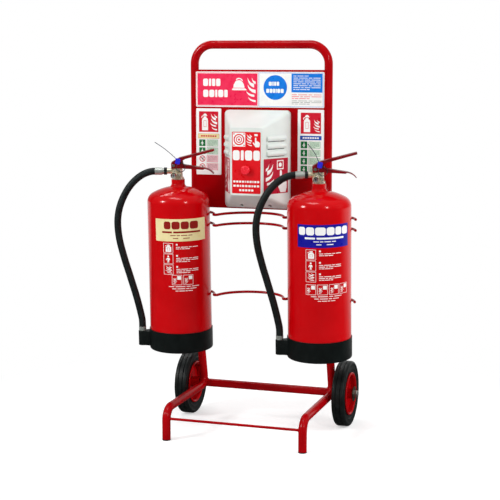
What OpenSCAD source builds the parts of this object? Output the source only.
// Wheeled fire point trolley: a bent tube frame on two wheels that carries a foam and a powder
// extinguisher, a push-button alarm and sign boards. Millimetres, +Z up, +Y to the back.

/* [Trolley frame] */
// Outside diameter of the frame tube
tube_d = 25; // [20:0.5:30]
// Wall of the frame tube
tube_wall = 1.6; // [1:0.1:2.5]
// Spacing of the uprights, centre to centre
upright_gap = 418; // [400:1:430]
// Height of the handle bar's centre line
handle_z = 1158; // [1120:1:1300]
// Centre line radius of the handle's corners
handle_bend = 57; // [40:1:70]
// Height at which the uprights bend back
kick_z = 402; // [360:1:408]
// Centre line radius of that bend
kick_bend = 60; // [40:1:90]
// Setback of the lower corners behind the uprights
corner_setback = 75; // [66:1:84]
// Centre line radius of the lower corners
corner_bend = 26; // [22:1:30]
// Height of the legs' centre line
leg_z = 94; // [90:1:97]
// Reach of the feet in front of the uprights
foot_reach = 258; // [220:1:320]
// Centre line radius of the knees
knee_bend = 36; // [28:1:44]
// Diameter of the rod between the legs
tie_rod_d = 8; // [6:0.5:12]
// Height of that rod
tie_rod_z = 65; // [30:1:75]
// Thickness of the plug under each foot
plug_rim = 3; // [2:0.5:6]
// Length of the plug inside the tube
plug_stem = 18; // [10:1:30]

/* [Wheels] */
// Outside diameter of the tyres
wheel_d = 200; // [190:1:206]
// Width of the tyres
wheel_w = 40; // [36:1:44]
// Radius of the tyre's shoulders
tread_r = 7; // [4:0.5:9]
// Width of a groove in the tread
groove_w = 2.6; // [1.5:0.1:4]
// Depth of a groove in the tread
groove_depth = 2.4; // [1:0.1:4]
// Diameter of the tyre's seat on the rim
rim_d = 125; // [100:1:140]
// Gap between the upright and the tyre
wheel_gap = 11; // [6:0.5:20]
// Diameter of the axle
axle_d = 12; // [10:0.5:14]
// Setback of the axle behind the uprights
axle_setback = 66; // [63:1:69]
// Diameter of the cross tube around the axle
axle_tube_d = 25; // [20:0.5:28]
// Diameter of the wheel's hub
hub_d = 32; // [28:1:44]
// Wall of the bush in the hub
bush_wall = 3; // [2:0.5:5]
// Length of the hub outside the tyre
hub_proud = 6; // [3:0.5:10]
// Diameter of the cap on the axle's end
cap_d = 22; // [18:0.5:28]
// Length of that cap
cap_len = 14; // [10:0.5:20]
// Diameter of the washer under that cap
washer_d = 46; // [40:1:52]

/* [Cradle rods] */
// Diameter of the cradle rods
rod_d = 8; // [6:0.5:10]
// Distance of each extinguisher from the middle
hang_pitch = 217; // [210:1:225]
// Room between a cylinder and the rods behind it
cradle_room = 7.5; // [6:0.5:9]
// Centre line radius of the folds between the scallops
fold_bend = 6; // [5:0.5:9]
// Angle at which a scallop runs into a fold
fold_angle = 11; // [8:1:20]
// Angle at which a rod ends beside a cylinder
rod_end_angle = 17; // [5:1:40]
// Height of the upper rod
upper_rod_z = 657; // [653:1:661]
// Height of the middle rod
middle_rod_z = 625; // [621:1:629]
// Height of the lower rod
lower_rod_z = 415; // [412:1:440]

/* [Panel and signs] */
// Height of the panel's lower edge
panel_z = 668; // [666:1:690]
// Height of the panel
panel_h = 416; // [400:1:430]
// How far the panel's edges stop short of the uprights' centres
panel_short = 4; // [2:0.5:7]
// Thickness of the panel's sheet
panel_t = 1.5; // [1:0.1:3]
// Depth of the panel's folded edges
panel_fold = 12; // [6:1:20]
// Thickness of the signs
sign_t = 1.5; // [1:0.1:4]
// Width of the header sign
header_w = 400; // [380:1:408]
// Height of the header sign
header_h = 105; // [80:1:108]
// Distance from the panel's top edge to the header board
header_inset = 6; // [4:0.5:8]
// Width of an identity sign
id_w = 80; // [60:1:92]
// Height of an identity sign
id_h = 200; // [180:1:230]
// Gap between the header board and the identity boards
sign_gap = 5; // [4:0.5:15]
// Corner radius of the signs
sign_corner = 3; // [1:0.5:6]

/* [Alarm] */
// Offset of the alarm from the middle
alarm_x = -3; // [-6:0.5:6]
// Height of the alarm's lower edge
alarm_z = 673; // [670:1:676]
// Width of the alarm at the panel
alarm_w = 203; // [190:1:206]
// Height of the alarm at the panel
alarm_h = 292; // [280:1:294]
// Depth of the alarm
alarm_depth = 115; // [105:1:118]
// Straight edge of the cover at the panel
alarm_skirt = 12; // [8:1:16]
// Width of the alarm's front face
face_w = 99; // [90:1:110]
// Height of the front face
face_h = 198; // [190:1:205]
// Wall of the alarm's cover
alarm_wall = 2.5; // [2:0.1:3.5]
// Height of the push button
button_z = 795; // [785:1:805]
// Diameter of the push button
button_d = 26; // [22:0.5:34]
// Length of the push button outside the face
button_len = 15; // [12:0.5:20]
// Diameter of the button's shank
shank_d = 12; // [9:0.5:14]
// Travel of the button
button_travel = 4; // [2:0.5:5]
// Number of louvres on each side
louvre_count = 3; // [2:1:4]
// Height of the upper louvre
louvre_z = 879; // [870:1:884]
// Spacing of the louvres
louvre_pitch = 22; // [20:1:24]
// Length of a louvre
louvre_len = 80; // [60:1:86]
// Radius of a louvre's hood
hood_r = 9; // [6:0.5:9.5]
// Diameter of the sounder's magnet
sounder_d = 56; // [40:1:60]
// Length of the magnet
sounder_len = 30; // [20:1:40]
// Diameter of the sounder's horn
horn_d = 76; // [62:1:80]
// Length of the horn
horn_len = 34; // [20:1:40]
// Distance between the cover's screws
alarm_screw_gap = 89; // [80:1:96]

/* [Extinguishers] */
// Outside diameter of the cylinders
cylinder_d = 186; // [178:1:190]
// Wall of the cylinders
cylinder_wall = 1.6; // [1.2:0.1:3]
// Height at which the side runs into the shoulder
shoulder_h = 445; // [430:1:460]
// Radius of the shoulder's edge
knuckle_r = 30; // [20:1:40]
// Radius of the shoulder's crown
crown_r = 160; // [140:1:200]
// Diameter of the neck
neck_d = 40; // [38:0.5:44]
// Growth of the neck's radius at its foot
neck_flare = 5; // [2:0.5:7]
// Height of the neck above the crown
neck_h = 20; // [14:1:28]
// Height of the base boot
boot_h = 61; // [40:1:80]
// Wall of the base boot
boot_wall = 2.3; // [1.5:0.1:3.5]
// Turn of the extinguishers towards the viewer's right
turn = 18; // [10:1:24]
// Height of the hooks that carry them
hook_z = 641; // [638:1:644]
// Height of the hanging strap above the base
strap_h = 390; // [380:1:400]
// Width of the hooks
hook_w = 26; // [20:1:32]
// Room for the hook between a cylinder and the rods
hook_room = 9; // [8.5:0.5:12]

/* [Valves] */
// Height of the valve body above the neck
valve_h = 33; // [28:0.5:40]
// Diameter of the valve body
valve_d = 28; // [26:0.5:34]
// Length of the outlet beside the valve's axis
outlet_len = 32; // [28:1:36]
// Reach of the handle's cheeks behind the valve's axis
cheek_back = 19; // [18.5:0.5:21]
// Reach of the cheeks in front of it
cheek_front = 17; // [16:0.5:20]
// Height of the cheeks above the valve body
cheek_rise = 20; // [20:0.5:22]
// Depth of the lever's sides
lever_depth = 8; // [6:0.5:8]
// Depth of the handle's sides
grip_depth = 12; // [8:0.5:12]
// Diameter of the valve stem
stem_d = 6; // [5:0.5:7]
// Thickness of the handle and lever sheet
sheet_t = 2; // [1.5:0.1:2.5]
// Width of the handle's cheeks, outside
cheek_w = 28; // [26:0.5:32]
// Distance of the lever's pivot behind the valve's axis
pivot_back = 12; // [10:0.5:14]
// Height of the pivot above the valve body
pivot_rise = 9; // [8:0.5:10]
// Diameter of the pivot
pivot_d = 5; // [4:0.5:6]
// Distance of the safety pin before the valve's axis
pin_front = 8; // [7:0.5:9]
// Height of the safety pin above the valve body
pin_rise = 17; // [16:0.5:18]
// Diameter of the safety pin
pin_d = 4; // [3:0.5:5]
// Diameter of the pin's ring
ring_d = 26; // [22:1:30]
// Squeeze angle of the lever
squeeze = 14; // [8:1:16]
// Rise of the lever's arm, in degrees
lever_rise = 13.6; // [10:0.2:16]
// Length of the lever before the valve's axis
lever_len = 108; // [90:1:120]
// Fall of the carry handle, in degrees
handle_fall = 10; // [6:0.5:14]
// Length of the handle's straight part
grip_len = 68; // [55:1:80]
// Radius of the handle's curled end
curl_r = 40; // [30:1:60]
// Diameter of the pressure gauge
gauge_d = 19; // [17:0.5:24]
// Width of the seal's tag
seal_w = 14; // [10:0.5:15]
// Height of the seal's tag
seal_h = 17; // [12:0.5:18]
// Diameter of the seal's tail
tail_d = 2; // [1.2:0.1:2.4]
// Depth of the gauge
gauge_len = 12; // [9:0.5:16]

/* [Hoses] */
// Outside diameter of the hoses
hose_d = 21; // [18:0.5:22]
// Diameter of the upper ferrule
ferrule_d = 22; // [22:0.5:25]
// Length of the upper ferrule
ferrule_len = 24; // [20:1:28]
// Diameter of the nozzle at its root
nozzle_d = 18; // [15:0.5:20]
// Diameter of the nozzle at its mouth
mouth_d = 12; // [9:0.5:14]

/* [Hidden] */
$fn = 64;

// Gap left at a weld or a glued face, running fit on a radius, and loose fit
weld_gap = 0.1;
run_gap = 0.05;
loose_gap = 0.3;
// Overshoot of cutting shapes
over = 1;
// How far a bar's straights run into its bends, and how much thinner they are on the radius
splice = 1;
splice_step = 0.05;
left = -1;
right = 1;

// Finishes
paint_red = "#B80F14";
cylinder_red = "#D3121A";
rubber_black = "#1C2122";
plastic_black = "#161B1B";
nickel = "#C9C4B0";
steel = "#B9BDC0";
cover_white = "#E6ECE8";
seal_blue = "#1E22D2";

// Frame: places in the trolley's own plane, where Y = 0 is the uprights
tube_r = tube_d / 2;
upright_x = upright_gap / 2;
wheel_r = wheel_d / 2;
axle_z = wheel_r;
kick_angle = atan(corner_setback / (kick_z - leg_z));
frame_y = (foot_reach + tube_r - axle_setback - wheel_r) / 2;
side_path = [[-foot_reach, plug_rim], [-foot_reach, leg_z], [corner_setback, leg_z], [0, kick_z],
    [0, handle_z - handle_bend + splice]];
side_bends = [0, knee_bend, corner_bend, kick_bend, 0];
hoop_path = [[-upright_x, handle_z - handle_bend], [-upright_x, handle_z], [upright_x, handle_z],
    [upright_x, handle_z - handle_bend]];
hoop_bends = [0, handle_bend, handle_bend, 0];
header_z = panel_z + panel_h - header_inset - header_h;
id_top_z = header_z - sign_gap;

// Wheels
wheel_x = upright_x + tube_r + wheel_gap + wheel_w / 2;
hub_inner = upright_x + tube_r + loose_gap - wheel_x;
hub_outer = wheel_w / 2 + hub_proud;
axle_half = wheel_x + hub_outer + cap_len - 4;

// Cradle: scallop radius and the place of its centre for a rod at height z
cylinder_r = cylinder_d / 2;
rod_r = rod_d / 2;
scallop_r = cylinder_r + cradle_room + rod_r;
function upright_y(z) = z < kick_z ? (kick_z - z) * tan(kick_angle) : 0;
function scallop_y(z) = upright_y(z) - tube_r - weld_gap - rod_r
    - sqrt(pow(scallop_r, 2) - pow(hang_pitch - upright_x, 2));
fold_x = hang_pitch - (scallop_r + fold_bend) * cos(fold_angle);
fold_depth = scallop_r - (scallop_r + fold_bend) * sin(fold_angle);
middle_r = (pow(fold_x, 2) + pow(fold_depth, 2) - pow(fold_bend, 2)) / (2 * (fold_depth + fold_bend));
middle_angle = atan2(middle_r - fold_depth, fold_x);

// Hanging: the strap rides in the hook, and the cylinder leans back on the lower rod
hang_y = scallop_y(upper_rod_z) + cradle_room - hook_room;
lean_y = scallop_y(lower_rod_z) + cradle_room - loose_gap;
lean = atan((lean_y - hang_y) / (hook_z - lower_rod_z));
hook_t = 2;
hook_play = 0.8;
hook_floor = 3;
strap_t = 2;
strap_tall = 24;
strap_y = cylinder_r + hook_play + hook_t + loose_gap;
hook_back = strap_y + strap_t + loose_gap;

// Panel stack, measured forward from the uprights' plane
panel_w = upright_gap - 2 * panel_short;
panel_back = sqrt(pow(tube_r, 2) - pow(panel_short, 2)) + weld_gap;
panel_front = panel_back + panel_t;

// Alarm
alarm_mid_z = alarm_z + alarm_h / 2;
alarm_tilt = atan((alarm_w - face_w) / 2 / (alarm_depth - alarm_skirt));
lower_tilt = atan((alarm_h - face_h) / 2 / (alarm_depth - alarm_skirt));
hood_sink = 3.5;
hood_rise = 6;
slot_h = 2.2;
backplate_t = 3;
backplate_inset = 3.5;
board_front = 92;
board_t = 1.6;
switch_len = 6;
shank_end = board_front + switch_len + 10;
screw_seat = 14;

// Extinguisher heights above its base
crown_z = shoulder_h - sqrt(pow(crown_r - knuckle_r, 2) - pow(cylinder_r - knuckle_r, 2));
crown_top = crown_z + crown_r;
neck_top = crown_top + neck_h;
valve_top = neck_top + valve_h;
neck_bore = 30;
outlet_z = valve_top - 8.5;
gauge_x = -11;
boss_x = 7;
gauge_z = neck_top + 14.5;
gauge_y = 20;
chamber_d = 12;
chamber_z = neck_top + 4;
chamber_top = valve_top - 6;
collar_d = 10;
collar_t = 3;
dip_d = 14;
dip_wall = 1.5;

// Lever and handle, in the plane of the levers: x forward of the valve's axis, z above the base
pivot = [-pivot_back, valve_top + pivot_rise];
pin = [pin_front, valve_top + pin_rise];
pin_reach = norm(pin - pivot);
pin_angle = atan2(pin[1] - pivot[1], pin[0] - pivot[0]);
lever_w = cheek_w - 2 * sheet_t - 1;
lever_knee = [5, valve_top + 31.5];
lever_tip = lever_knee + (lever_len - lever_knee[0]) / cos(lever_rise) * [cos(lever_rise), sin(lever_rise)];
lever_heel = pivot + [-6, 9];
stem_top = valve_top + 24.1;

// Hose route beside the valve: distance from the axis and height above the base
hose_route = [[-68, 536], [-84, 534], [-103, 527], [-121, 515], [-137, 500], [-151, 482], [-163, 461],
    [-173, 438], [-180, 412], [-183, 385], [-182, 355], [-178, 325], [-171, 294], [-163, 263], [-154, 232],
    [-145, 200], [-136, 168], [-128, 136], [-121, 104], [-117.5, 84], [-117, 64]];
hose_sides = 10;
hose_end = hose_route[len(hose_route) - 1];
hose_start = hose_route[0];
nozzle_tip = 8;
clip_z = 12;
clip_h = 26;
clip_wall = 3;

// Frames of reference
module on_trolley() translate([0, frame_y, 0]) children();
// Local x, y are world Y, Z, and local z is world X
module side_view(x = 0) translate([x, 0, 0]) rotate([90, 0, 90]) children();
// Local x, y are world X, Z, and local z points to the front
module front_view(y = 0) translate([0, -y, 0]) rotate([90, 0, 0]) children();
// Along the world's X axis
module along_x() rotate([0, 90, 0]) children();
// Hung on its hook, leaning back, with the origin at the cylinder's base and +Y straight back
module leaning(side) on_trolley() translate([side * hang_pitch, hang_y, hook_z])
    rotate([lean, 0, 0]) translate([0, 0, -strap_h]) children();
// The same, turned so that +X runs along the levers
module hung(side) leaning(side) rotate([0, 0, turn]) children();
// The lever plane: local x along the levers, local y up, local z towards the front
module lever_view() rotate([90, 0, 0]) children();

// Heading of a path's leg, turn at a corner, and the length that the bend takes there
function heading(p, i) = atan2(p[i + 1][1] - p[i][1], p[i + 1][0] - p[i][0]);
function wrap(a) = a > 180 ? a - 360 : a < -180 ? a + 360 : a;
function turning(p, i) = wrap(heading(p, i) - heading(p, i - 1));
function trim(p, b, i) = i == 0 || i == len(p) - 1 ? 0 : b[i] * tan(abs(turning(p, i)) / 2);

// A round bar along a flat path, bent at its corners; ends can be run on past the path.
// The straights run a little way into the bends, a hair thinner than these
module bent_bar(path, bends, d, run_on = 0) {
    last = len(path) - 1;
    for (i = [0 : last - 1]) {
        a = heading(path, i);
        from = i == 0 ? -run_on : trim(path, bends, i) - splice;
        to = norm(path[i + 1] - path[i]) - (i == last - 1 ? -run_on : trim(path, bends, i + 1) - splice);
        if (to - from > 2 * splice) translate(path[i]) rotate([0, 0, a]) translate([from, 0, 0])
            along_x() cylinder(h = to - from, d = d - 2 * splice_step);
    }
    for (i = [1 : last - 1]) {
        t = turning(path, i);
        a = heading(path, i - 1);
        s = sign(t);
        translate(path[i]) rotate([0, 0, a]) translate([-trim(path, bends, i), s * bends[i], 0])
            rotate([0, 0, s > 0 ? -90 : 90 + t]) rotate_extrude(angle = abs(t))
                translate([bends[i], 0]) circle(d = d);
    }
}

module rounded(w, h, r) hull() for (x = [-1, 1], y = [-1, 1])
    translate([x * (w / 2 - r), y * (h / 2 - r)]) circle(r = r, $fn = 20);

// A plate with rounded corners, made of exact shapes
module plate(w, h, r, t) {
    translate([-w / 2 + r, -h / 2, 0]) cube([w - 2 * r, h, t]);
    translate([-w / 2, -h / 2 + r, 0]) cube([w, h - 2 * r, t]);
    for (x = [-1, 1], y = [-1, 1]) translate([x * (w / 2 - r), y * (h / 2 - r), 0]) cylinder(h = t, r = r);
}

// Triangles of a tube of rings, each with the same number of points, closed by two end caps
function tube_faces(rings, n) = concat(
    [for (i = [0 : rings - 2], k = [0 : n - 1]) each
        [[i * n + k, (i + 1) * n + (k + 1) % n, (i + 1) * n + k],
         [i * n + k, i * n + (k + 1) % n, (i + 1) * n + (k + 1) % n]]],
    [for (k = [1 : n - 2]) [0, k + 1, k]],
    [for (k = [1 : n - 2]) [(rings - 1) * n, (rings - 1) * n + k, (rings - 1) * n + k + 1]]);

// A tube swept along a route in the X-Z plane, square at both ends
module swept_tube(route, d, start_dir, end_dir, n) {
    last = len(route) - 1;
    points = [for (i = [0 : last]) let (
        v = i == 0 ? start_dir : i == last ? end_dir : route[i + 1] - route[i - 1],
        u = v / norm(v)) for (k = [0 : n - 1]) let (a = 360 * k / n)
        [route[i][0] - u[1] * cos(a) * d / 2, sin(a) * d / 2, route[i][1] + u[0] * cos(a) * d / 2]];
    polyhedron(points, tube_faces(last + 1, n));
}

// A coil spring between two heights
module coil_spring(r, wire, low, high, turns) {
    n = 6;
    steps = turns * 8;
    rise = high - low - wire;
    points = [for (i = [0 : steps], k = [0 : n - 1]) let (a = 360 * turns * i / steps, b = 360 * k / n)
        [(r + cos(b) * wire / 2) * cos(a), (r + cos(b) * wire / 2) * sin(a),
         low + wire / 2 + rise * i / steps + sin(b) * wire / 2]];
    polyhedron(points, tube_faces(steps + 1, n));
}

// Trolley

module frame_bars(d, run_on = 0) {
    for (x = [-upright_x, upright_x]) side_view(x) bent_bar(side_path, side_bends, d, run_on);
    front_view() bent_bar(hoop_path, hoop_bends, d);
}

module frame_tube() color(paint_red) on_trolley() difference() {
    frame_bars(tube_d);
    frame_bars(tube_d - 2 * tube_wall, over);
    translate([-wheel_x, axle_setback, axle_z]) along_x()
        cylinder(h = 2 * wheel_x, d = axle_d + 2 * weld_gap);
}

// Bars that end against the frame's tubes
module between_frame() difference() {
    children();
    for (x = [-upright_x, upright_x]) side_view(x) bent_bar(side_path, side_bends, tube_d + 2 * weld_gap);
}

module axle_tube() color(paint_red) on_trolley() difference() {
    between_frame() translate([-upright_x, axle_setback, axle_z]) along_x()
        cylinder(h = upright_gap, d = axle_tube_d);
    translate([-upright_x, axle_setback, axle_z]) along_x()
        cylinder(h = upright_gap, d = axle_d + 2 * weld_gap);
}

module axle() color(steel) on_trolley() translate([-axle_half, axle_setback, axle_z]) along_x()
    cylinder(h = 2 * axle_half, d = axle_d);

module front_tie_rod() color(paint_red) on_trolley() between_frame()
    translate([-upright_x, -foot_reach, tie_rod_z]) along_x() cylinder(h = upright_gap, d = tie_rod_d);

module arc_rod(centre, r, from, to, d) translate(centre) rotate([0, 0, from])
    rotate_extrude(angle = to - from) translate([r, 0]) circle(d = d);

// The scallops run a little way into the folds, a hair thinner than these
module scalloped_rod(z) color(paint_red) on_trolley() translate([0, scallop_y(z), z]) {
    thin_d = rod_d - 2 * splice_step;
    run = splice / 2 / scallop_r * 180 / PI;
    middle_run = splice / 2 / middle_r * 180 / PI;
    arc_rod([hang_pitch, 0, 0], scallop_r, rod_end_angle, 180 - fold_angle + run, thin_d);
    arc_rod([-hang_pitch, 0, 0], scallop_r, fold_angle - run, 180 - rod_end_angle, thin_d);
    arc_rod([0, scallop_r - middle_r, 0], middle_r, middle_angle - middle_run,
        180 - middle_angle + middle_run, thin_d);
    arc_rod([fold_x, scallop_r - fold_depth, 0], fold_bend, 180 + middle_angle, 360 - fold_angle, rod_d);
    arc_rod([-fold_x, scallop_r - fold_depth, 0], fold_bend, 180 + fold_angle, 360 - middle_angle, rod_d);
}

module upper_hanger_rod() scalloped_rod(upper_rod_z);
module middle_cradle_rod() scalloped_rod(middle_rod_z);
module lower_cradle_rod() scalloped_rod(lower_rod_z);

module hanger_hooks() color(paint_red) intersection() {
    for (s = [left, right]) leaning(s) translate([-hook_w / 2, 0, strap_h]) {
        low = -strap_tall / 2 - loose_gap;
        translate([0, cylinder_r + hook_play, low - hook_floor])
            cube([hook_w, hook_t, strap_tall * 0.8 + hook_floor]);
        translate([0, cylinder_r + hook_play, low - hook_floor])
            cube([hook_w, hook_back - cylinder_r, hook_floor]);
        translate([0, hook_back, low - 2 * hook_floor - rod_d / 2])
            cube([hook_w, 2 * hook_room, upper_rod_z - middle_rod_z + 2 * rod_d]);
    }
    on_trolley() for (s = [left, right]) translate([s * hang_pitch, scallop_y(upper_rod_z), 0])
        cylinder(h = upper_rod_z + rod_d, r = scallop_r - rod_r - weld_gap, $fn = 360);
}

module back_panel() color(paint_red) on_trolley() {
    translate([0, 0, panel_z + panel_h / 2]) front_view(panel_back) plate(panel_w, panel_h, 3, panel_t);
    fold_w = upright_gap - tube_d - 4;
    for (z = [panel_z, panel_z + panel_h - panel_t])
        translate([-fold_w / 2, -panel_back, z]) cube([fold_w, panel_fold, panel_t]);
}

module sign_board(x, z, w, h) on_trolley() translate([x, 0, z + h / 2])
    front_view(panel_front) plate(w, h, sign_corner, sign_t);

module header_sign() color("#F2F2F2") sign_board(0, header_z, header_w, header_h);
module foam_id_sign() color("#F2F2F2") sign_board((id_w - header_w) / 2, id_top_z - id_h, id_w, id_h);
module powder_id_sign() color("#F2F2F2") sign_board((header_w - id_w) / 2, id_top_z - id_h, id_w, id_h);

module leg_end_plugs() color(plastic_black) on_trolley() for (x = [-upright_x, upright_x])
    translate([x, -foot_reach, 0]) {
        cylinder(h = plug_rim, d = tube_d);
        cylinder(h = plug_rim + plug_stem, d = tube_d - 2 * tube_wall - 2 * weld_gap);
    }

module axle_end_caps() color(steel) on_trolley() for (s = [left, right])
    translate([s * (wheel_x + hub_outer + loose_gap), axle_setback, axle_z]) rotate([0, s * 90, 0])
        difference() {
            rotate_extrude() {
                square([washer_d / 2, 2]);
                square([cap_d / 2, cap_len - 4]);
                square([cap_d / 2 - 4, cap_len]);
                translate([cap_d / 2 - 4, cap_len - 4]) circle(r = 4);
            }
            translate([0, 0, -over])
                cylinder(h = axle_half - wheel_x - hub_outer + over, d = axle_d + weld_gap);
        }

// Alarm, in the front view with local z forward of the panel

module at_alarm() on_trolley() translate([alarm_x, 0, 0]) front_view(panel_front) children();
module at_alarm_mid() at_alarm() translate([0, alarm_mid_z, 0]) children();

module alarm_form(inset, foot) hull() {
    translate([0, 0, foot]) linear_extrude(alarm_skirt - foot)
        rounded(alarm_w - 2 * inset, alarm_h - 2 * inset, 12 - inset);
    translate([0, 0, alarm_depth - inset - 0.5]) linear_extrude(0.5)
        rounded(face_w - 2 * inset, face_h - 2 * inset, 6 - inset);
}

module louvres(rise, sink) for (s = [left, right], i = [0 : louvre_count - 1])
    translate([s * (alarm_w + face_w) / 4, louvre_z - alarm_mid_z - i * louvre_pitch + rise,
        (alarm_depth + alarm_skirt) / 2]) rotate([0, -s * alarm_tilt, 0])
            translate([-s * sink, 0, 0]) children();

module screw_places() for (x = [-1, 1])
    translate([x * alarm_screw_gap / 2 - alarm_x, alarm_z + 10 - alarm_mid_z, 0]) children();

module board_bosses() for (x = [-1, 1], y = [-1, 1])
    translate([x * 30, button_z - alarm_mid_z + y * 20, 0]) children();

// Tubular screw bosses that end in the cover's lower slope
module screw_bosses() difference() {
    screw_places() translate([0, 0, backplate_t + weld_gap]) cylinder(h = alarm_depth / 2, d = 14);
    translate([-alarm_w / 2, -alarm_h / 2 + alarm_wall / 2, alarm_skirt]) rotate([-lower_tilt, 0, 0])
        translate([0, -alarm_depth, -alarm_depth]) cube([alarm_w, alarm_depth, 3 * alarm_depth]);
}

module alarm_cover() color(cover_white) at_alarm_mid() difference() {
    union() {
        difference() {
            union() {
                alarm_form(0, weld_gap);
                louvres(hood_rise, hood_sink) cylinder(h = louvre_len, r = hood_r, center = true);
            }
            alarm_form(alarm_wall, -over);
        }
        screw_bosses();
        board_bosses() translate([0, 0, board_front])
            cylinder(h = alarm_depth - alarm_wall / 2 - board_front, d = 7);
        translate([0, button_z - alarm_mid_z, shank_end - 5])
            cylinder(h = alarm_depth - alarm_wall / 2 - shank_end + 5, d = shank_d + 6);
    }
    louvres(hood_rise - hood_r + slot_h / 2 - loose_gap, 0)
        cube([4 * hood_r, slot_h, louvre_len - 8], center = true);
    screw_places() translate([0, 0, screw_seat]) cylinder(h = alarm_depth, d = 9);
    screw_places() cylinder(h = alarm_depth, d = 4 + 2 * weld_gap);
    translate([0, button_z - alarm_mid_z, board_front + switch_len])
        cylinder(h = alarm_depth, d = shank_d + 2 * run_gap);
}

module alarm_backplate() color("#3A3F40") at_alarm_mid() difference() {
    plate(alarm_w - 2 * backplate_inset, alarm_h - 2 * backplate_inset, 8, backplate_t);
    screw_places() translate([0, 0, -over]) cylinder(h = backplate_t + 2 * over, d = 4 + 2 * weld_gap);
}

module alarm_screws() color(steel) at_alarm_mid() screw_places() {
    cylinder(h = screw_seat, d = 4);
    translate([0, 0, screw_seat]) difference() {
        cylinder(h = 3, d = 8);
        translate([0, 0, 1.5]) for (a = [0, 90]) rotate([0, 0, a]) translate([-2.5, -0.5, 0]) cube([5, 1, 2]);
    }
}

module alarm_sounder() color("#26292B") at_alarm() translate([0, louvre_z - louvre_pitch, backplate_t])
    rotate_extrude() difference() {
        union() {
            square([sounder_d / 2, sounder_len]);
            translate([0, sounder_len]) polygon([[0, 0], [sounder_d / 2 - 6, 0], [horn_d / 2, horn_len],
                [horn_d / 2 - 2, horn_len], [sounder_d / 2 - 8, 2], [0, 2]]);
        }
        translate([0, sounder_len - 4]) square([8, 10]);
    }

module alarm_battery() color("#30343A") at_alarm() translate([30, alarm_z + 45, backplate_t])
    difference() {
        plate(27, 49, 3, 17);
        for (x = [-6, 6]) translate([x, 20, 15]) cylinder(h = 3, d = 6);
    }

module alarm_circuit_board() color("#1F6A3A") at_alarm() translate([0, button_z, 0]) {
    translate([0, 0, board_front - board_t]) plate(72, 52, 2, board_t);
    translate([-7, -7, board_front]) cube([14, 14, switch_len]);
    translate([14, -20, board_front]) cube([10, 16, 4]);
}

module alarm_button_spring() color(steel) at_alarm() translate([0, button_z, 0])
    coil_spring(4, 0.8, board_front + switch_len + weld_gap, shank_end - weld_gap, 4);

module alarm_button() color("#D8141C") at_alarm() translate([0, button_z, 0]) rotate_extrude() {
    translate([0, shank_end]) square([shank_d / 2, alarm_depth - shank_end + button_travel + 2]);
    translate([0, alarm_depth + button_travel + 0.5]) {
        square([button_d / 2, button_len - button_travel - 4]);
        square([button_d / 2 - 3, button_len - button_travel - 1]);
        translate([button_d / 2 - 3, button_len - button_travel - 4]) circle(r = 3);
    }
}

// Wheels, turned about the axle with local z towards the outside

module at_wheel(s) on_trolley() translate([s * wheel_x, axle_setback, axle_z])
    rotate([0, s * 90, 0]) rotate_extrude() children();

rim_r = rim_d / 2;
rim_w = 28;
lip_r = 3;

// A flat ribbed tread, shoulders a hair lower, and ringed sides that draw in to the rim
module tyre(s) color(rubber_black) at_wheel(s) difference() {
    edge = wheel_w / 2 - tread_r;
    side = wheel_w / 2 - 0.4;
    seat = rim_w / 2 - 0.6;
    union() {
        translate([rim_r, -edge - splice / 2]) square([wheel_r - rim_r, 2 * edge + splice]);
        polygon([[rim_r, -seat], [wheel_r - tread_r, -side], [wheel_r - tread_r, side], [rim_r, seat]]);
        for (y = [-1, 1]) {
            translate([wheel_r - tread_r, y * edge]) circle(r = tread_r - splice_step);
            translate([(wheel_r - tread_r + rim_r) / 2, y * ((side + seat) / 2 - 0.4)]) circle(r = 1.5);
        }
    }
    square([2 * rim_r + weld_gap, 4 * wheel_w], center = true);
    for (y = [-1, 1]) translate([wheel_r - groove_depth, y * wheel_w / 6 - groove_w / 2])
        square([2 * groove_depth, groove_w]);
}

module wheel_rim(s) color(paint_red) {
    bore = axle_d / 2 + run_gap + bush_wall;
    at_wheel(s) translate([rim_r - 5, -rim_w / 2 - lip_r]) square([5, rim_w + 2 * lip_r]);
    for (y = [-1, 1]) at_wheel(s) translate([rim_r, y * (rim_w / 2 + lip_r)]) circle(r = lip_r);
    at_wheel(s) polygon([[hub_d / 2 - 2, -2], [hub_d / 2 - 2, 5], [rim_r * 0.62, 1], [rim_r - 4, 5],
        [rim_r - 4, -1], [rim_r * 0.62, -4]]);
    at_wheel(s) translate([bore, hub_inner]) square([hub_d / 2 - bore, hub_outer - hub_inner]);
}

module wheel_bush(s) color("#B79A54") at_wheel(s) {
    bore = axle_d / 2 + run_gap;
    translate([bore, hub_inner]) square([bush_wall - weld_gap / 2, hub_outer - hub_inner]);
}

// Extinguisher, in its own frame with the base at z = 0

// Half outline of the cylinder, drawn in by an inset
module cylinder_outline(inset, foot) {
    r = cylinder_r - inset;
    k = knuckle_r - inset;
    translate([0, foot + 20 + inset]) square([r, shoulder_h - foot - 20 - inset]);
    translate([0, foot + inset]) square([r - 20, 20]);
    translate([r - 20, foot + 20 + inset]) circle(r = 20);
    translate([0, shoulder_h - k]) square([r - k, k]);
    translate([r - k, shoulder_h]) circle(r = k);
    intersection() {
        translate([0, crown_z]) circle(r = crown_r - inset);
        polygon([[0, crown_z], [0, crown_z + 1.2 * crown_r],
            [3 * (cylinder_r - knuckle_r), crown_z + 3 * (shoulder_h - crown_z)]]);
    }
}

module right_half() intersection() {
    children();
    square([cylinder_d, 2 * shoulder_h]);
}

boot_floor = 3;

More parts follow.
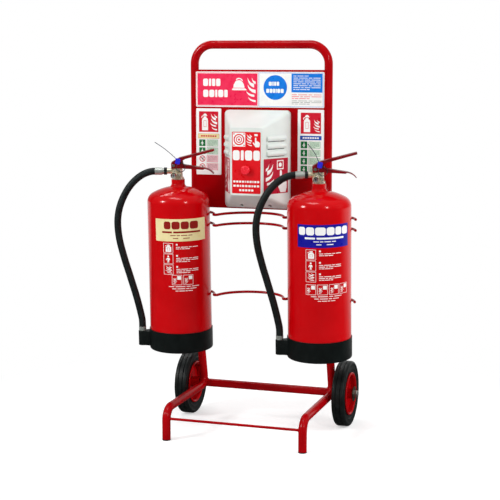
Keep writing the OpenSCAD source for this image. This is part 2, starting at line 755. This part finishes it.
module cylinder_shell() color(cylinder_red) {
    difference() {
        union() {
            rotate_extrude() right_half() cylinder_outline(0, boot_floor);
            translate([0, 0, crown_top - 6]) cylinder(h = neck_h + 6, d = neck_d);
            translate([0, 0, crown_top - 4])
                cylinder(h = 10, r1 = neck_d / 2 + neck_flare, r2 = neck_d / 2 - splice / 2);
        }
        rotate_extrude() right_half() cylinder_outline(cylinder_wall, boot_floor);
        translate([0, 0, shoulder_h]) cylinder(h = 2 * (neck_top - shoulder_h), d = neck_bore + 2 * weld_gap);
    }
}

// The strap on the cylinder's back, in the leaning frame
module hanging_strap() color(cylinder_red) difference() {
    half = hook_w / 2 + 6;
    translate([-half, cylinder_r - 12, strap_h - strap_tall / 2])
        cube([2 * half, strap_y + strap_t - cylinder_r + 12, strap_tall]);
    translate([-half + 4, cylinder_r - 13, strap_h - strap_tall])
        cube([2 * half - 8, strap_y - cylinder_r + 13, 2 * strap_tall]);
    cylinder(h = shoulder_h, r = cylinder_r - cylinder_wall / 2);
}

module extinguisher_cylinder(side) {
    hung(side) cylinder_shell();
    leaning(side) hanging_strap();
}

module base_boot() color(plastic_black) {
    outer = cylinder_r + weld_gap + boot_wall;
    difference() {
        union() {
            rotate_extrude() right_half() {
                translate([0, 4]) square([outer, boot_h - 4]);
                square([outer - 4, 8]);
                translate([outer - 4, 4]) circle(r = 4);
            }
            translate([hose_end[0], -9, clip_z]) cube([-hose_end[0] - cylinder_r + 4, 18, clip_h]);
            translate([hose_end[0], 0, clip_z]) cylinder(h = clip_h, d = nozzle_d + 2 * clip_wall);
        }
        rotate_extrude() right_half() cylinder_outline(-weld_gap, boot_floor);
        translate([hose_end[0], 0, -over]) cylinder(h = boot_h, d = nozzle_d + 2 * weld_gap);
        translate([hose_end[0] - 2 * nozzle_d - nozzle_d * 0.3, -nozzle_d, -over])
            cube([2 * nozzle_d, 2 * nozzle_d, boot_h]);
    }
}

module valve_body() color(nickel) difference() {
    union() {
        translate([0, 0, neck_top - neck_h - 4]) cylinder(h = neck_h + 4, d = neck_bore);
        translate([0, 0, neck_top]) cylinder(h = 6, d = neck_d - 5);
        translate([0, 0, neck_top]) cylinder(h = valve_h, d = valve_d);
        translate([-outlet_len, 0, outlet_z]) along_x() cylinder(h = outlet_len, d = 16);
        translate([gauge_x, 0, gauge_z]) rotate([90, 0, 0]) cylinder(h = gauge_y - weld_gap, d = 13);
        translate([boss_x, 0, gauge_z]) rotate([90, 0, 0]) cylinder(h = gauge_y - 4, d = 11);
        translate([boss_x, -gauge_y + 4, gauge_z]) rotate([90, 30, 0]) cylinder(h = 4, d = 13, $fn = 6);
    }
    translate([0, 0, chamber_z]) cylinder(h = chamber_top - chamber_z, d = chamber_d);
    translate([0, 0, chamber_z]) cylinder(h = valve_h, d = stem_d + 2 * run_gap);
    translate([-outlet_len - over, 0, outlet_z]) along_x() cylinder(h = outlet_len, d = 7);
    translate([0, 0, neck_top - neck_h - 4 - over]) cylinder(h = neck_h + 1, d = dip_d + 2 * weld_gap);
    translate([0, 0, neck_top - neck_h]) cylinder(h = 2 * neck_h, d = 7);
}

module dip_tube() color("#D8DAD6") translate([0, 0, 14]) difference() {
    cylinder(h = neck_top - 4 - 14 - weld_gap, d = dip_d);
    translate([0, 0, -over]) cylinder(h = neck_top, d = dip_d - 2 * dip_wall);
}

module at_gauge() translate([gauge_x, -gauge_y, gauge_z]) rotate([90, 0, 0]) children();

dial_depth = 2.5;

module gauge() color(nickel) at_gauge() rotate_extrude() difference() {
    union() {
        square([gauge_d / 2 - 2, gauge_len]);
        translate([0, 3]) square([gauge_d / 2, gauge_len - 4]);
        translate([gauge_d / 2 - 1, gauge_len - 1]) circle(r = 1);
    }
    translate([-over, gauge_len - dial_depth]) square([gauge_d / 2 - 1.5 + over, dial_depth + over]);
}

module gauge_needle() color("#202020") at_gauge() translate([0, 0, gauge_len - dial_depth + loose_gap]) {
    cylinder(h = 1, d = 4);
    linear_extrude(0.6) polygon([[-0.8, 0], [0, gauge_d / 2 - 4], [0.8, 0], [0.6, -3.5], [-0.6, -3.5]]);
}

// Both cheeks of a channel, each a sheet of the given outline
module cheeks(w) for (s = [-1, 1]) translate([0, 0, s * (w - sheet_t) / 2 - sheet_t / 2])
    linear_extrude(sheet_t) children();

grip_start = [15, valve_top + 11.4];
grip_end = grip_start + grip_len * [cos(handle_fall), -sin(handle_fall)];
curl_angle = 44;
grip_w = cheek_w - 4;
grip_t = 2.5;

module carry_handle() color("#A30E14") lever_view() difference() {
    union() {
        cheeks(cheek_w) polygon([[-cheek_back, valve_top + weld_gap],
            [-cheek_back, valve_top + cheek_rise - 4], [-cheek_back + 7, valve_top + cheek_rise],
            [cheek_front - 2, valve_top + cheek_rise], [cheek_front, valve_top + cheek_rise - 9],
            [cheek_front, valve_top + weld_gap]]);
        translate([-cheek_back, valve_top + weld_gap, -cheek_w / 2])
            cube([cheek_back + cheek_front, sheet_t, cheek_w]);
        translate([0, 0, -grip_w / 2]) linear_extrude(grip_w) polygon([grip_start, grip_end,
            grip_end - grip_t * [sin(handle_fall), cos(handle_fall)],
            grip_start - grip_t * [sin(handle_fall), cos(handle_fall)]]);
        translate([grip_end[0] - curl_r * sin(handle_fall), grip_end[1] - curl_r * cos(handle_fall), 0])
            rotate([0, 0, 90 - handle_fall - curl_angle])
                rotate_extrude(angle = curl_angle + splice / curl_r * 180 / PI)
                    translate([curl_r - grip_t + splice_step, -grip_w / 2 + splice_step])
                        square([grip_t - 2 * splice_step, grip_w - 2 * splice_step]);
        cheeks(grip_w) polygon([grip_start, grip_start - [0, grip_depth],
            grip_end - [grip_len * 0.1, grip_depth * 0.38],
            grip_end - grip_t / 2 * [sin(handle_fall), cos(handle_fall)]]);
    }
    translate([0, valve_top, 0]) rotate([-90, 0, 0]) cylinder(h = 10, d = stem_d + 4);
    for (p = [pivot, pin]) translate([p[0], p[1], -cheek_w])
        cylinder(h = 2 * cheek_w, d = (p == pin ? pin_d + 2 * run_gap : pivot_d + 2 * weld_gap));
}

module squeeze_lever() color("#A30E14") lever_view() difference() {
    arm_dir = [cos(lever_rise), sin(lever_rise)];
    down = [sin(lever_rise), -cos(lever_rise)];
    heel_dir = (lever_knee - lever_heel) / norm(lever_knee - lever_heel);
    heel_down = [heel_dir[1], -heel_dir[0]];
    union() {
        cheeks(lever_w) union() {
            translate(pivot) circle(r = 6.4);
            polygon([pivot + [-6.2, 0], lever_heel, lever_knee, lever_tip,
                lever_tip + down * (lever_depth - 2), lever_knee + arm_dir * 16 + down * lever_depth,
                pin + [6, 5], pin + [4.5, -3], pivot + [1.5, -6]]);
        }
        translate([0, 0, -lever_w / 2]) linear_extrude(lever_w) {
            polygon([lever_knee, lever_tip, lever_tip + down * sheet_t, lever_knee + down * sheet_t]);
            polygon([lever_heel, lever_knee, lever_knee + down * sheet_t, lever_knee + heel_down * sheet_t,
                lever_heel + heel_down * sheet_t]);
        }
    }
    translate([pivot[0], pivot[1], -cheek_w]) cylinder(h = 2 * cheek_w, d = pivot_d + 2 * run_gap);
    // Slots that let the lever turn about its pivot past the pin
    for (a = [0, squeeze + 2]) translate([pivot[0], pivot[1], -cheek_w]) rotate([0, 0, pin_angle + a])
        translate([pin_reach, 0, 0]) cylinder(h = 2 * cheek_w, d = pin_d + 2 * loose_gap);
    translate([pivot[0], pivot[1], -cheek_w]) rotate([0, 0, pin_angle]) rotate_extrude(angle = squeeze + 2)
        translate([pin_reach - pin_d / 2 - loose_gap + splice_step, 0])
            square([pin_d + 2 * loose_gap - 2 * splice_step, 2 * cheek_w]);
}

module lever_pivot() color(steel) lever_view() translate([pivot[0], pivot[1], 0]) {
    cylinder(h = cheek_w + 2 * weld_gap, d = pivot_d, center = true);
    for (s = [0, 1]) mirror([0, 0, s]) translate([0, 0, cheek_w / 2 + weld_gap]) cylinder(h = 1.8, d = 9);
}

pin_head = cheek_w / 2 + 4;
ring_wire = 2;

module safety_pin() color(steel) lever_view() translate([pin[0], pin[1], 0]) {
    translate([0, 0, -cheek_w / 2 - 3]) cylinder(h = cheek_w / 2 + 3 + pin_head, d = pin_d);
    translate([0, 0, pin_head - 1.5]) cylinder(h = 3, d = pin_d + 2);
    translate([2, -ring_d / 2, pin_head + 0.6]) rotate_extrude() translate([ring_d / 2, 0]) circle(d = ring_wire);
}

seal_x = 1.5;
seal_mid = pin[1] + 5.5;
seal_y = cheek_w / 2 + 2;
seal_t = 3.6;
seal_stand = 3.9;
seal_reach = pin[0] - pin_d / 2 - 1 - weld_gap;

// The tag stands in front of the ring on a foot that reaches the pin's head
module tamper_seal(tail) color(seal_blue) {
    lever_view() translate([0, 0, seal_y + loose_gap]) {
        linear_extrude(0.8) polygon([[seal_x - 5, pin[1] - 1], [seal_reach, pin[1] - 1],
            [seal_reach, pin[1] + 1], [seal_x + 1, pin[1] + 1], [seal_x + 1, seal_mid + 3],
            [seal_x - 5, seal_mid + 3]]);
        translate([seal_x - 5, seal_mid - 3, 0]) cube([6, 6, seal_stand + over]);
        translate([seal_x, seal_mid, seal_stand]) rotate([0, 0, -12]) plate(seal_w, seal_h, 3, seal_t);
    }
    translate([0, -seal_y - loose_gap - seal_stand - seal_t / 2, 0]) swept_tube(tail, tail_d, tail[1] - tail[0],
        tail[len(tail) - 1] - tail[len(tail) - 2], 8);
}

foam_tail = [[0.5, seal_mid + 2.5], [-8, pin[1] + 18], [-21, pin[1] + 30], [-35, pin[1] + 42],
    [-50, pin[1] + 53], [-65, pin[1] + 63]];
powder_tail = [[0.5, seal_mid + 2.5], [-3.5, pin[1] + 18], [-10, pin[1] + 34], [-20, pin[1] + 50],
    [-33, pin[1] + 66]];

module valve_stem() color(steel) {
    translate([0, 0, chamber_z + 2]) cylinder(h = stem_top - chamber_z - 2, d = stem_d);
    translate([0, 0, chamber_top - loose_gap - collar_t]) cylinder(h = collar_t, d = collar_d);
}

module stem_spring() color(steel)
    coil_spring(4.3, 1, chamber_z + weld_gap, chamber_top - loose_gap - collar_t - weld_gap, 5);

module hose() color(rubber_black)
    swept_tube(hose_route, hose_d, [-1, 0], [0, -1], hose_sides);

lower_ferrule = 12;

module hose_ferrules() {
    color(steel) translate([hose_start[0], 0, outlet_z]) along_x() difference() {
        rotate_extrude() {
            square([ferrule_d / 2, ferrule_len - 2]);
            square([ferrule_d / 2 - 2, ferrule_len]);
            translate([0, ferrule_len]) square([9, -hose_start[0] - outlet_len - ferrule_len - 1]);
        }
        translate([0, 0, ferrule_len + 6]) cylinder(h = 2 * ferrule_len, d = 7);
    }
    color(plastic_black) translate([-outlet_len - 9, 0, outlet_z]) along_x() difference() {
        cylinder(h = 9 - weld_gap, d = 22, $fn = 6);
        translate([0, 0, -over]) cylinder(h = 20, d = 18 + 2 * weld_gap);
    }
    color(steel) translate([hose_end[0], 0, hose_end[1] - lower_ferrule])
        cylinder(h = lower_ferrule, d = hose_d + 1);
}

module nozzle() color(plastic_black) translate([hose_end[0], 0, 0]) difference() {
    rotate_extrude() polygon([[0, nozzle_tip], [mouth_d / 2, nozzle_tip],
        [nozzle_d / 2, clip_z - 1], [nozzle_d / 2, clip_z + clip_h + 4], [nozzle_d / 2 + 1.5, clip_z + clip_h + 8],
        [nozzle_d / 2 + 1.5, hose_end[1] - lower_ferrule], [0, hose_end[1] - lower_ferrule]]);
    translate([0, 0, nozzle_tip - over]) cylinder(h = 20, d = mouth_d - 4);
}

frame_tube();
axle_tube();
axle();
front_tie_rod();
upper_hanger_rod();
middle_cradle_rod();
lower_cradle_rod();
hanger_hooks();
back_panel();
header_sign();
foam_id_sign();
powder_id_sign();
leg_end_plugs();
axle_end_caps();
alarm_backplate();
alarm_cover();
alarm_sounder();
alarm_battery();
alarm_circuit_board();
alarm_button_spring();
alarm_screws();
alarm_button();
tyre(left);  // left_tyre
wheel_rim(left);  // left_wheel_rim
wheel_bush(left);  // left_wheel_bush
tyre(right);  // right_tyre
wheel_rim(right);  // right_wheel_rim
wheel_bush(right);  // right_wheel_bush
extinguisher_cylinder(left);  // foam_cylinder
hung(left) base_boot();  // foam_base_boot
hung(left) valve_body();  // foam_valve_body
hung(left) dip_tube();  // foam_dip_tube
hung(left) gauge();  // foam_gauge
hung(left) gauge_needle();  // foam_gauge_needle
hung(left) carry_handle();  // foam_carry_handle
hung(left) squeeze_lever();  // foam_squeeze_lever
hung(left) lever_pivot();  // foam_lever_pivot
hung(left) safety_pin();  // foam_safety_pin
hung(left) tamper_seal(foam_tail);  // foam_tamper_seal
hung(left) valve_stem();  // foam_valve_stem
hung(left) stem_spring();  // foam_stem_spring
hung(left) hose();  // foam_hose
hung(left) hose_ferrules();  // foam_hose_ferrules
hung(left) nozzle();  // foam_nozzle
extinguisher_cylinder(right);  // powder_cylinder
hung(right) base_boot();  // powder_base_boot
hung(right) valve_body();  // powder_valve_body
hung(right) dip_tube();  // powder_dip_tube
hung(right) gauge();  // powder_gauge
hung(right) gauge_needle();  // powder_gauge_needle
hung(right) carry_handle();  // powder_carry_handle
hung(right) squeeze_lever();  // powder_squeeze_lever
hung(right) lever_pivot();  // powder_lever_pivot
hung(right) safety_pin();  // powder_safety_pin
hung(right) tamper_seal(powder_tail);  // powder_tamper_seal
hung(right) valve_stem();  // powder_valve_stem
hung(right) stem_spring();  // powder_stem_spring
hung(right) hose();  // powder_hose
hung(right) hose_ferrules();  // powder_hose_ferrules
hung(right) nozzle();  // powder_nozzle
